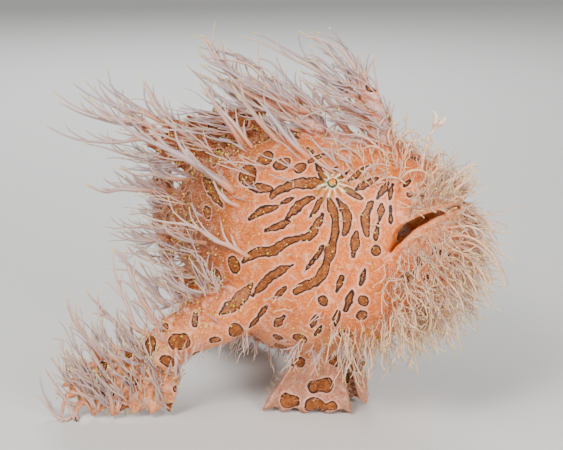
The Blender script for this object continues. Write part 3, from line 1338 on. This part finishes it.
# Filaments seen in the photograph, in its pixels: width at the root, number of branches, then the line's
# x and y from root to tip.
GUIDES = (
    (5, 3, 360, 92, 357, 69, 347, 49, 334, 39, 316, 32),
    (5, 3, 352, 90, 345, 69, 335, 53, 324, 41, 306, 31), (4, 3, 347, 86, 332, 69, 319, 58, 306, 54),
    (4, 3, 346, 90, 327, 74, 316, 61, 307, 58),
    (5, 4, 354, 95, 334, 82, 311, 67, 291, 58, 275, 49, 258, 41, 243, 37),
    (4, 3, 346, 95, 327, 84, 314, 76, 301, 71), (4, 3, 340, 108, 324, 94, 311, 84, 299, 79),
    (4, 2, 363, 105, 353, 97, 344, 94, 331, 96), (4, 2, 364, 100, 356, 84, 345, 74, 333, 70),
    (5, 5, 318, 108, 304, 94, 288, 80, 272, 63, 258, 58),
    (6, 6, 308, 113, 285, 102, 270, 88, 252, 66, 222, 59, 200, 57),
    (6, 6, 295, 113, 265, 92, 242, 79, 226, 69, 209, 62, 197, 50),
    (5, 5, 275, 107, 245, 92, 229, 74, 216, 61, 206, 43, 194, 35),
    (4, 4, 268, 104, 240, 84, 224, 66, 211, 46, 203, 36), (6, 5, 250, 102, 229, 89, 213, 81, 196, 72),
    (5, 5, 262, 111, 244, 97, 226, 87, 205, 76), (5, 4, 366, 118, 347, 112, 327, 110, 308, 115, 300, 121),
    (4, 3, 365, 122, 344, 121, 330, 128, 325, 137), (7, 6, 308, 157, 291, 141, 275, 121, 265, 108, 255, 97),
    (7, 6, 280, 143, 259, 121, 250, 108, 242, 98, 232, 86),
    (5, 5, 252, 147, 242, 134, 232, 121, 219, 108, 211, 97, 200, 84),
    (9, 10, 232, 190, 222, 182, 200, 167, 185, 158, 164, 147, 138, 136, 120, 122, 107, 111, 89, 97),
    (7, 9, 210, 151, 203, 147, 185, 134, 167, 122, 156, 109, 149, 95, 142, 83),
    (7, 7, 243, 145, 229, 124, 218, 109, 209, 96, 199, 82),
    (5, 5, 146, 114, 120, 107, 102, 101, 85, 92, 71, 82),
    (5, 5, 138, 121, 116, 119, 100, 116, 76, 107, 53, 91),
    (5, 4, 140, 126, 120, 124, 103, 120, 80, 113, 59, 102),
    (5, 5, 142, 139, 120, 142, 105, 142, 80, 140, 60, 133, 46, 125),
    (4, 4, 142, 134, 125, 141, 110, 143, 87, 142), (4, 4, 150, 160, 130, 156, 115, 151, 102, 147, 84, 143),
    (8, 8, 172, 191, 142, 190, 120, 189, 105, 192, 87, 184),
    (5, 5, 187, 180, 167, 178, 152, 174, 140, 176, 118, 168),
    (5, 4, 238, 206, 226, 200, 216, 187, 212, 171),
    (6, 8, 246, 255, 230, 246, 214, 240, 193, 226, 164, 222, 142, 216),
    (5, 6, 206, 243, 190, 241, 178, 238, 167, 231, 163, 222), (4, 3, 202, 216, 196, 213, 191, 203),
    (4, 4, 170, 234, 156, 231, 139, 225), (5, 5, 168, 239, 150, 241, 134, 240, 122, 238, 109, 233),
    (5, 7, 185, 270, 172, 267, 156, 263, 138, 256, 125, 244),
    (5, 6, 215, 292, 200, 294, 180, 288, 160, 272, 150, 262),
    (7, 6, 154, 322, 142, 299, 131, 276, 125, 258, 112, 247),
    (6, 5, 135, 327, 127, 305, 119, 287, 114, 268, 113, 249),
    (5, 5, 168, 305, 152, 287, 137, 272, 127, 262, 117, 251),
    (8, 7, 131, 337, 120, 327, 110, 318, 95, 302, 84, 289),
    (6, 6, 124, 362, 102, 352, 83, 333, 72, 314, 65, 292), (5, 5, 122, 354, 106, 337, 99, 315, 98, 291),
    (5, 5, 196, 294, 171, 289, 152, 282, 141, 262), (5, 3, 176, 350, 176, 362, 176, 378),
    (4, 2, 186, 350, 186, 360, 184, 366), (5, 3, 97, 415, 86, 392, 70, 368, 58, 352),
    (5, 3, 97, 415, 90, 392, 76, 366, 66, 356), (5, 3, 99, 415, 92, 398, 84, 382, 76, 367),
    (4, 3, 94, 416, 78, 390, 60, 370, 50, 356), (6, 4, 113, 412, 110, 396, 106, 386, 102, 376),
    (5, 4, 115, 410, 104, 386, 92, 372, 84, 358), (4, 3, 117, 412, 120, 396, 122, 384),
    (5, 4, 74, 419, 66, 400, 52, 380, 44, 367), (5, 3, 76, 420, 70, 405, 62, 396, 54, 392),
    (4, 3, 66, 420, 52, 412, 42, 400, 33, 394), (4, 3, 60, 416, 48, 402, 42, 388, 39, 372),
    (4, 6, 440, 186, 453, 179, 464, 169, 478, 163), (4, 4, 445, 197, 456, 189, 466, 181, 477, 171),
    (4, 6, 452, 207, 463, 208, 472, 209, 489, 214),
    (3, 0, 430, 178, 437, 168, 439, 153, 434, 142, 427, 137),
    (3, 2, 400, 154, 400, 140, 408, 131, 418, 134, 423, 141),
    (3, 2, 404, 160, 408, 146, 416, 140, 422, 146), (3, 2, 392, 150, 388, 136, 392, 126, 399, 122),
    (3, 2, 384, 148, 378, 136, 380, 124, 386, 116), (4, 1, 352, 155, 345, 146, 335, 140, 322, 138),
    (4, 1, 372, 150, 362, 142, 350, 141, 340, 146), (3, 1, 365, 160, 352, 150, 338, 150, 326, 158),
    (3, 1, 352, 170, 342, 158, 330, 150, 318, 148), (4, 1, 338, 165, 328, 155, 318, 146, 310, 136),
    (3, 0, 333, 172, 322, 165, 314, 158, 308, 150), (3, 1, 382, 158, 376, 146, 366, 138, 354, 134),
    (3, 1, 390, 165, 384, 152, 372, 146, 360, 150), (3, 1, 347, 178, 338, 170, 330, 168, 322, 160),
    (3, 1, 360, 178, 368, 168, 378, 164, 390, 166), (3, 1, 372, 186, 384, 178, 396, 178, 406, 184),
    (3, 1, 398, 182, 408, 172, 420, 170, 430, 176),
    (3, 3, 455, 242, 470, 243, 484, 251, 501, 272, 505, 288),
    (3, 3, 450, 251, 465, 256, 473, 262, 484, 277, 489, 294),
    (3, 3, 448, 228, 462, 226, 472, 227, 483, 233, 485, 242),
    (3, 3, 446, 258, 462, 268, 473, 284, 478, 298),
    (3, 3, 448, 236, 466, 236, 482, 244, 495, 258, 499, 272),
    (3, 3, 436, 270, 450, 284, 460, 298, 464, 312),
)
GUIDE_STEPS = 14
GUIDE_SIDES = 7
GUIDE_TIP = 0.17
GUIDE_REACH = (0.24, 0.46)
GUIDE_SPREAD = (0.35, 0.7)
GUIDE_COMB = 1.1
GUIDE_FORK_FROM = 0.08
GUIDE_FORK_SPAN = 0.66
GUIDE_FORK_SLACK = 0.1
GUIDE_SWAY = 1.6
PIXEL_MM = 0.335
ROOT_DEPTH = 1.2
ROOT_SLIP = 5.0
BACK_SLOPE = 0.4
BACK_SLOPE_FROM = 60
BACK_SLOPE_WIDTH = 100
CLEAR_OF_SKIN = 0.8
DEEPEST_STEP = 2.5
MIDLINE_REACH = 8.0
MIDLINE_MIRROR = -0.4
REAR_LIMIT = -87.5
REAR_FROM_X = 42
LEAST_HEIGHT = 0.4
GUIDE_FLOOR = 0.5
BRANCH_SHARE = 0.7
SEARCH_REACH = 200
SEARCH_WAYS = [(math.cos(math.tau * k / 24), math.sin(math.tau * k / 24)) for k in range(24)]


def nearest_skin(px, py):
    """The pixel nearest to a given one that shows skin, and the place on the skin."""
    for away in range(0, SEARCH_REACH, 2):
        for dx, dy in SEARCH_WAYS if away else SEARCH_WAYS[:1]:
            pixel = np.array((px + dx * away, py + dy * away))
            place = pixel_on_skin(*pixel)
            if place is not None:
                return pixel, place
    raise ValueError("no skin near this pixel")


def depth_of(place):
    return float(np.dot(VIEW_PLACE - place, VIEW_BACK))


def guide_line(corners):
    """A filament's line in space, from its pixels; it keeps in front of the skin."""
    root, first = nearest_skin(*corners[0])
    if np.linalg.norm(root - corners[0]) > ROOT_SLIP:
        corners = [tuple(root), *corners]
    pixels = through([(x, y, 0.0) for x, y in corners])
    line = [pixels(k / (GUIDE_STEPS - 1)) for k in range(GUIDE_STEPS)]
    deep = depth_of(first)
    slope = BACK_SLOPE * min(1.0, max(0.0, (corners[-1][0] - BACK_SLOPE_FROM) / BACK_SLOPE_WIDTH))
    places = [first]
    for px, py, _ in line[1:]:
        way = pixel_way(px, py)
        run = (line[0][0] - px) * PIXEL_SPREAD * deep
        depth = deep + slope * max(run, 0.0)
        hit = pixel_on_skin(px, py)
        if hit is not None:
            depth = min(depth, depth_of(hit) - CLEAR_OF_SKIN)
        depth = min(depth, depth_of(places[-1]) + DEEPEST_STEP)
        place = VIEW_PLACE - way * depth / np.dot(way, VIEW_BACK)
        past_rear = (REAR_LIMIT - place[0]) / VIEW_BACK[0]
        past_floor = (LEAST_HEIGHT - place[2]) / VIEW_BACK[2]
        depth -= max(0.0, past_rear, past_floor)
        places.append(VIEW_PLACE - way * depth / np.dot(way, VIEW_BACK))
    return np.array(places)


def mirrored_line(line, rng):
    """A filament again on the left side, swaying a little, or None where there is no skin at its root."""
    flip = MIDLINE_MIRROR if abs(line[0][1]) < MIDLINE_REACH else -1
    copy = line * (1, flip, 1)
    near, _, _, _ = skin_tree.find_nearest(Vector(copy[0]))
    if (near - Vector(copy[0])).length > SUNK_REACH:
        return None
    sway = rng.normal(0, GUIDE_SWAY, 3) * np.linspace(0, 1, GUIDE_STEPS)[:, None]
    return keep_outside((copy + sway)[None])[0]


def plant_guide(coats, line, width, branches, rng):
    """One filament along a line, with side branches."""
    rear = line[0][0] < REAR_FROM_X
    name = "guides_rear" if rear else "guides_front"
    coat = coats.setdefault(name, Coat(name))
    line[0] += unit(line[0] - line[1]) * ROOT_DEPTH
    line[:, 2] = np.maximum(line[:, 2], GUIDE_FLOOR)
    size = np.array([np.linalg.norm(line[-1] - line[0])])
    radii = thinned(np.array([width * PIXEL_MM / 2]), GUIDE_TIP, GUIDE_STEPS, BEAD)
    shade = rng.uniform(0, 1, 1)
    coat.add(line[None], radii, GUIDE_SIDES, np.zeros(1), np.ones(1), shade, line[:1])
    for k in range(branches):
        low = GUIDE_FORK_FROM + GUIDE_FORK_SPAN * k / branches
        fork(coat, line[None], radii, size, shade, line[:1], rng, low, low + GUIDE_FORK_SLACK,
             COMB * (GUIDE_COMB if rear else 0.0), GUIDE_REACH, GUIDE_SPREAD)


def fewer(branches):
    return max(1, round(branches * BRANCH_SHARE)) if branches else 0


def plant_guides(coats, rng):
    """The filaments of the photograph, and again on the left side with fewer branches."""
    for width, branches, *flat in GUIDES:
        line = guide_line(pairs(flat))
        plant_guide(coats, line.copy(), width, fewer(branches), rng)
        other = mirrored_line(line, rng)
        if other is not None:
            plant_guide(coats, other, width, fewer(fewer(branches)), rng)


EYE_CLEARANCE = 4.6
LIP_ZONE_FROM_X = 52
CHIN_LIP_FROM_X = 57
SNOUT_FROM_X = 58

side_of = np.where(points[:, 1] < 0, -1.0, 1.0)
X, _, Z = points.T
lower_lip = np.interp(X, *np.array(LOWER_LIP).T)
upper_lip = np.interp(X, *np.array(UPPER_LIP).T)
lip_zone = X > LIP_ZONE_FROM_X
in_mouth = inner | (lip_zone & (Z > lower_lip - 0.6) & (Z < upper_lip + 0.8))
open_skin = (eye_distance(points) > EYE_CLEARANCE) & ~in_mouth & (part != "lid")
on_body = (part == "body") & open_skin
chin_part = (part == "body") | ((part == "lips") & (X > CHIN_LIP_FROM_X))
chin = open_skin & chin_part & lip_zone & (Z < lower_lip - 0.2)
snout = open_skin & ((part == "body") | (part == "lips")) & (X > SNOUT_FROM_X) & (Z > upper_lip + 1.0)
side_skin = on_body & (Z < 86) & (Z > 40)
limbs = (part != "body") & (part != "lid") & (part != "lips")
foot = (part == "leg") | (part == "foot")
tail = (part == "caudal") | (on_body & (X < -34))

UP = (-0.25, 0.0, 0.95)
DOWN = (-0.2, 0.0, -0.6)
ANY = (0.0, 0.0, 0.0)
GROWTHS = (
    # piece, count, shortest, longest, lie, stray, lift, branches, comb, where
    ("crest", 46, 12, 28, (-0.92, 0.05, 0.32), 0.10, 0.2, 2, UP, (part == "second") & (Z > 95)),
    ("crest", 42, 14, 31, (-0.92, 0.05, 0.32), 0.10, 0.2, 2, UP, (part == "third") & (Z > 97)),
    ("dorsal_coat", 50, 12, 32, (-0.97, 0.05, 0.10), 0.10, 0.2, 2, UP, (part == "dorsal")),
    ("back_coat", 26, 7, 22, (-0.90, 0.1, 0.36), 0.14, 0.28, 2, UP, on_body & (Z > 86) & (X < 30)),
    ("flank_coat", 30, 6, 20, (-0.94, 0.12, 0.16), 0.14, 0.25, 2, UP, side_skin & (X < -2)),
    ("flank_coat", 12, 5, 14, (-0.92, 0.12, 0.2), 0.18, 0.25, 2, UP, side_skin & (X < 14)),
    ("belly_coat", 130, 4, 10, (-0.3, 0.1, -0.85), 0.4, 0.6, 2, DOWN, on_body & (Z < 34) & (X < 36)),
    ("tail_coat", 56, 7, 20, (-0.96, -0.1, 0.12), 0.2, 0.45, 3, UP, tail),
    ("tail_coat", 30, 6, 14, (-0.9, 0, -0.2), 0.3, 0.55, 3, ANY, part == "anal"),
    ("arm_coat", 60, 6, 22, (-0.62, 0.12, 0.78), 0.18, 0.45, 3, UP,
     (part == "arm") & (normals[:, 2] > 0.1) & (X < 0)),
    ("arm_coat", 36, 3, 8, (-0.4, 0.15, -0.7), 0.35, 0.5, 2, DOWN, (part == "arm") & (normals[:, 2] < 0)),
    ("hand_coat", 300, 8, 23, (-0.5, 0.1, 0.86), 0.2, 0.3, 3, UP, (part == "hand") & (Z > 3)),
    ("face_coat", 50, 2, 6, (-0.7, 0.2, 0.25), 0.4, 0.45, 1, UP, on_body & (X > 18) & (X < 52) & (Z > 60)),
    ("face_coat", 80, 2.5, 8, (-0.4, 0.2, -0.5), 0.4, 0.5, 1, ANY, on_body & (X > 14) & (X < 54) & (Z < 60)),
    ("face_coat", 90, 4, 11, (-0.4, 0, 0.6), 0.5, 0.5, 2, ANY, on_body & (X > 34) & (X < 62) & (Z > 86)),
    ("chin_coat", 460, 5, 15, (0.2, 0.2, -0.5), 0.32, 0.5, 2, ANY, chin),
    ("throat_coat", 150, 5, 14, (-0.05, 0.1, -0.9), 0.3, 0.45, 2, DOWN, on_body & (X > 34) & (Z < 44)),
    ("throat_coat", 120, 3, 9, (0.3, 0.1, 0.3), 0.45, 0.5, 2, ANY, snout),
    ("foot_coat", 36, 2, 5, (-0.2, 0.3, -0.5), 0.4, 0.5, 1, ANY, foot & (Z > 6)),
)
FUZZ = (
    # piece, count, shortest, longest, lie, stray, lift, where
    ("fuzz_back", 4000, 0.7, 1.9, (-0.85, 0.1, 0.3), 0.4, 0.6, on_body & (X < 8)),
    ("fuzz_front", 5000, 0.5, 1.4, (-0.6, 0.1, 0.1), 0.5, 0.6, on_body & (X >= 8)),
    ("fuzz_chin", 3600, 1.5, 5.0, (0.2, 0.1, -0.3), 0.6, 0.8, chin),
    ("fuzz_chin", 1500, 1.0, 3.0, (0.2, 0.1, 0.2), 0.6, 0.8, snout),
    ("fuzz_limbs", 6500, 0.9, 3.0, (-0.6, 0.2, 0.4), 0.5, 0.7, limbs & (Z > 2)),
)
SPECKS = (
    # count, where
    (700, on_body & (X < 8) & (Z > 30)),
    (360, (part == "arm") & (normals[:, 2] > 0)),
    (200, on_body & (X > 8) & (X < 50) & (Z > 60)),
    (220, part == "hand"),
    (180, part == "dorsal"),
    (260, on_body & (X > 20) & (Z < 42)),
)
FANS = ("crest", "dorsal_coat", "back_coat")
FAN_SPREAD = (0.15, 0.4)
FINE = ("chin_coat", "throat_coat", "face_coat", "foot_coat")
# Radius at the root, its growth for each millimetre of length, and the height of the waves.
FINE_BUILD = (0.10, 0.008, 0.085)
PLAIN_BUILD = (0.16, 0.012, 0.035)
COAT_RADIUS_RANGE = (0.8, 1.25)
COAT_SUNK = 0.3
FUZZ_SUNK = 0.2
# How far the middle of a filament stands up from the skin and leans its way, as shares of its length.
COAT_LEAN = (0.28, 0.26)
FUZZ_LEAN = (0.45, 0.2)
# Powers that make short filaments commoner than long ones.
COAT_SHORTENING = 1.3
FUZZ_SHORTENING = 2
FUZZ_STEPS = 4
FUZZ_SIDES = 3
FUZZ_RADII = (0.07, 0.13)
FUZZ_TIP = 0.04
FUZZ_WAVE = 0.05
SPECK_SIZE = (0.18, 0.40)
SPECK_HEIGHT = (0.1, 2.2)
SPECK_STRAY = 0.4
SPECK_STATIONS = (-1, -0.6, 0.6, 1)
SPECK_RADII = (0.3, 0.95, 0.95, 0.3)
SPECK_SIDES = 5


def starts(where, count, rng):
    choices = np.nonzero(where)[0]
    pick = choices[rng.integers(len(choices), size=count)]
    return points[pick], normals[pick], side_of[pick][:, None]


def grown(row, where, lean, shortening, rng):
    """Roots, middles, tips, lengths and the ways up from the skin, of the filaments of a table's row."""
    _, count, short, long, lie, stray, lift = row
    roots, up, side = starts(where, count, rng)
    way = np.array(lie) * np.hstack([np.ones_like(side), side, np.ones_like(side)])
    way = unit(way + rng.normal(0, stray, (len(side), 3)))
    size = (short + (long - short) * rng.random(len(side)) ** shortening)[:, None]
    middles = roots + (up * lean[0] + way * lean[1]) * size
    tips = roots + (up * lift + way * (1 - lift / 2)) * size
    return roots, middles, tips, size[:, 0], up


def grow_coat(coats, rng):
    for *row, forks, comb, where in GROWTHS:
        name = row[0]
        roots, middles, tips, size, up = grown(row, where, COAT_LEAN, COAT_SHORTENING, rng)
        base, growing, wave = FINE_BUILD if name in FINE else PLAIN_BUILD
        thick = (base + growing * size) * rng.uniform(*COAT_RADIUS_RANGE, len(size))
        spread = FAN_SPREAD if name in FANS else TWIG_SPREAD
        coat = coats.setdefault(name, Coat(name))
        plant(coat, roots - up * COAT_SUNK, middles, tips, thick, rng, forks, np.array(comb), wave, spread)


def grow_fuzz(coats, rng):
    for *row, where in FUZZ:
        name = row[0]
        roots, middles, tips, size, up = grown(row, where, FUZZ_LEAN, FUZZ_SHORTENING, rng)
        count = len(size)
        seed = rng.integers(1 << 30)
        lines = bent_lines(roots - up * FUZZ_SUNK, middles, tips, FUZZ_STEPS, FUZZ_WAVE, seed)
        radii = thinned(rng.uniform(*FUZZ_RADII, count), FUZZ_TIP, FUZZ_STEPS)
        coat = coats.setdefault(name, Coat(name))
        coat.add(lines, radii, FUZZ_SIDES, np.zeros(count), np.ones(count), rng.random(count), roots)


def grow_specks(coats, rng):
    """Grains caught in the coat, each a small closed bead standing a little off the skin."""
    coat = coats.setdefault("specks", Coat("specks"))
    for count, where in SPECKS:
        roots, up, _ = starts(where, count, rng)
        size = rng.uniform(*SPECK_SIZE, (count, 1))
        middle = roots + up * rng.uniform(*SPECK_HEIGHT, (count, 1)) + rng.normal(0, SPECK_STRAY, (count, 3))
        axis = unit(rng.normal(size=(count, 3))) * size
        lines = np.stack([middle + axis * station for station in SPECK_STATIONS], axis=1)
        radii = size * np.array([SPECK_RADII])
        coat.add(lines, radii, SPECK_SIDES, np.ones(count), np.ones(count), rng.random(count), roots)


def speck_material():
    n = Nodes("speck")
    colour = n.mix(n.ramp(n.attribute("shade"), 0.1, 0.9), tone(186, 164, 30), tone(230, 206, 96))
    n.set(Base_Color=colour, Roughness=0.4)
    return n.material


BEAD_YELLOW = tone(224, 204, 100)
DUST_YELLOW = tone(190, 170, 84)


def coat_material(name, root, warm, cool, root_share):
    """Filaments take the skin's colour at the root and pale to a bead at the tip."""
    n = Nodes(name)
    along = n.attribute("along")
    shaft = n.mix(n.ramp(n.attribute("shade"), 0.2, 0.9), tone(*warm), tone(*cool))
    colour = n.mix(n.ramp(along, 0.0, root_share), tone(*root), shaft)
    colour = n.mix(n.ramp(along, 0.93, 0.985, 0.0, 0.9), colour, BEAD_YELLOW)
    colour = n.mix(n.ramp(n.noise(600, 2.0), 0.64, 0.70, 0.0, 0.5), colour, DUST_YELLOW)
    n.set(Base_Color=colour, Roughness=0.42)
    n.flesh(0.25, (0.0016, 0.0011, 0.0009))
    return n.material


coats = {}
rng = np.random.default_rng(5)
plant_guides(coats, rng)
grow_coat(coats, rng)
grow_fuzz(coats, rng)
grow_specks(coats, rng)
REAR_LOOK = coat_material("filament", (206, 132, 96), (202, 166, 152), (174, 154, 158), 0.42)
CHIN_LOOK = coat_material("beard", (232, 150, 98), (232, 184, 148), (206, 176, 158), 0.5)
NAP_LOOK = coat_material("nap", (222, 130, 78), (226, 144, 96), (232, 166, 124), 0.5)
DOWN_LOOK = coat_material("down", (186, 106, 62), (202, 134, 94), (208, 152, 118), 0.5)
LOOKS = {"specks": speck_material(), "chin_coat": CHIN_LOOK, "throat_coat": CHIN_LOOK, "fuzz_chin": CHIN_LOOK,
         "face_coat": CHIN_LOOK, "guides_front": CHIN_LOOK, "fuzz_front": NAP_LOOK, "fuzz_back": DOWN_LOOK,
         "fuzz_limbs": DOWN_LOOK}
coat_pieces = [coat.build(LOOKS.get(name, REAR_LOOK)) for name, coat in coats.items()]


# The lure, a thread with two soft tails.

def lure_shape():
    strands = [limb(LURE_ROD, LURE_ROD_RADII, LURE_SIDES, count=30)]
    for end in LURE_TAILS:
        start = np.array(LURE_ROD[-1])
        middle = (start + end) / 2 + LURE_TAIL_SAG
        strands.append(limb((start, middle, end), LURE_TAIL_RADII, LURE_SIDES, count=20))
    places, faces = [], []
    for strand, quads in strands:
        faces += [tuple(v + len(places) for v in face) for face in quads]
        places += strand.tolist()
    return places, faces


def lure_material():
    n = Nodes("lure")
    colour = n.mix(n.ramp(n.noise(700, 2.0), 0.4, 0.6), tone(222, 176, 150), tone(240, 214, 190))
    n.set(Base_Color=colour, Roughness=0.45)
    n.flesh(0.2, (0.0012, 0.0008, 0.0006))
    return n.material


lure = face_outwards(mesh_object("lure_look", *lure_shape()))
smooth_shading(lure.data)
lure.data.materials.append(lure_material())


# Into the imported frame.

for thing in [skin, lure] + eyes:
    thing.data.transform(Matrix.Translation(Vector(ORIGIN)) @ Matrix.Scale(MM, 4))
    thing.data.update()
for thing in [skin, lure] + eyes + coat_pieces:
    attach(thing, "root")
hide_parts("head", "lower_jaw", "trunk", "tail_stalk", "dorsal_fin", "anal_fin", "caudal_fin",
            "second_dorsal_spine", "third_dorsal_spine", "pectoral_arm_right", "pectoral_arm_left",
            "pectoral_fin_right", "pectoral_fin_left", "pelvic_fin_right", "pelvic_fin_left")
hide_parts("eye_right")
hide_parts("eye_left")
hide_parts("lure")


# Floor, light and camera.

FLOOR_REACH = 9
FLOOR_COLOUR = (0.62, 0.61, 0.59)
LIGHT_AIM = Vector((0, 0, 0.06))
SKY_COLOUR = (0.86, 0.88, 0.9, 1)
SKY_STRENGTH = 0.30


def floor_material():
    n = Nodes("floor")
    n.set(Base_Color=FLOOR_COLOUR, Roughness=0.7)
    return n.material


floor_corners = [(x * FLOOR_REACH, y * FLOOR_REACH, 0) for x, y in ((-1, -1), (1, -1), (1, 1), (-1, 1))]
floor = mesh_object("floor", floor_corners, [(0, 1, 2, 3)])
floor.data.materials.append(floor_material())


def area_light(name, place, size, power, colour):
    light = bpy.data.lights.new(name, "AREA")
    light.size = size
    light.energy = power
    light.color = colour
    lamp = put_in_scene(bpy.data.objects.new(name, light))
    lamp.location = place
    lamp.rotation_mode = "QUATERNION"
    lamp.rotation_quaternion = (LIGHT_AIM - Vector(place)).to_track_quat("-Z", "Y")


area_light("key", (-0.02, -0.78, 0.72), 0.3, 11.0, (1.0, 0.97, 0.93))
area_light("fill", (0.75, -0.35, 0.35), 0.5, 4.5, (1.0, 0.98, 0.96))
area_light("mouth", (0.30, -0.22, 0.18), 0.05, 0.6, (1.0, 0.97, 0.93))
area_light("rim", (-0.45, 0.65, 0.55), 0.4, 6.0, (0.94, 0.97, 1.0))
sky = bpy.data.lights.new("sky", "SUN")
sky.energy = 0.9
sky.angle = math.radians(40)
sky_lamp = put_in_scene(bpy.data.objects.new("sky", sky))
sky_lamp.rotation_euler = (math.radians(28), math.radians(-12), 0)
world = bpy.data.worlds.new("studio")
bpy.context.scene.world = world
world.use_nodes = True
background = world.node_tree.nodes["Background"].inputs
background["Color"].default_value = SKY_COLOUR
background["Strength"].default_value = SKY_STRENGTH

camera_data = bpy.data.cameras.new("camera")
camera_data.lens = LENS
camera_data.sensor_width = SENSOR
camera_data.dof.use_dof = False
camera_data.clip_start = 0.01
camera = put_in_scene(bpy.data.objects.new("camera", camera_data))
camera.location = Vector(VIEW_PLACE * MM + ORIGIN)
camera.rotation_mode = "QUATERNION"
camera.rotation_quaternion = Vector(-VIEW_BACK).to_track_quat("-Z", "Y")
bpy.context.scene.camera = camera
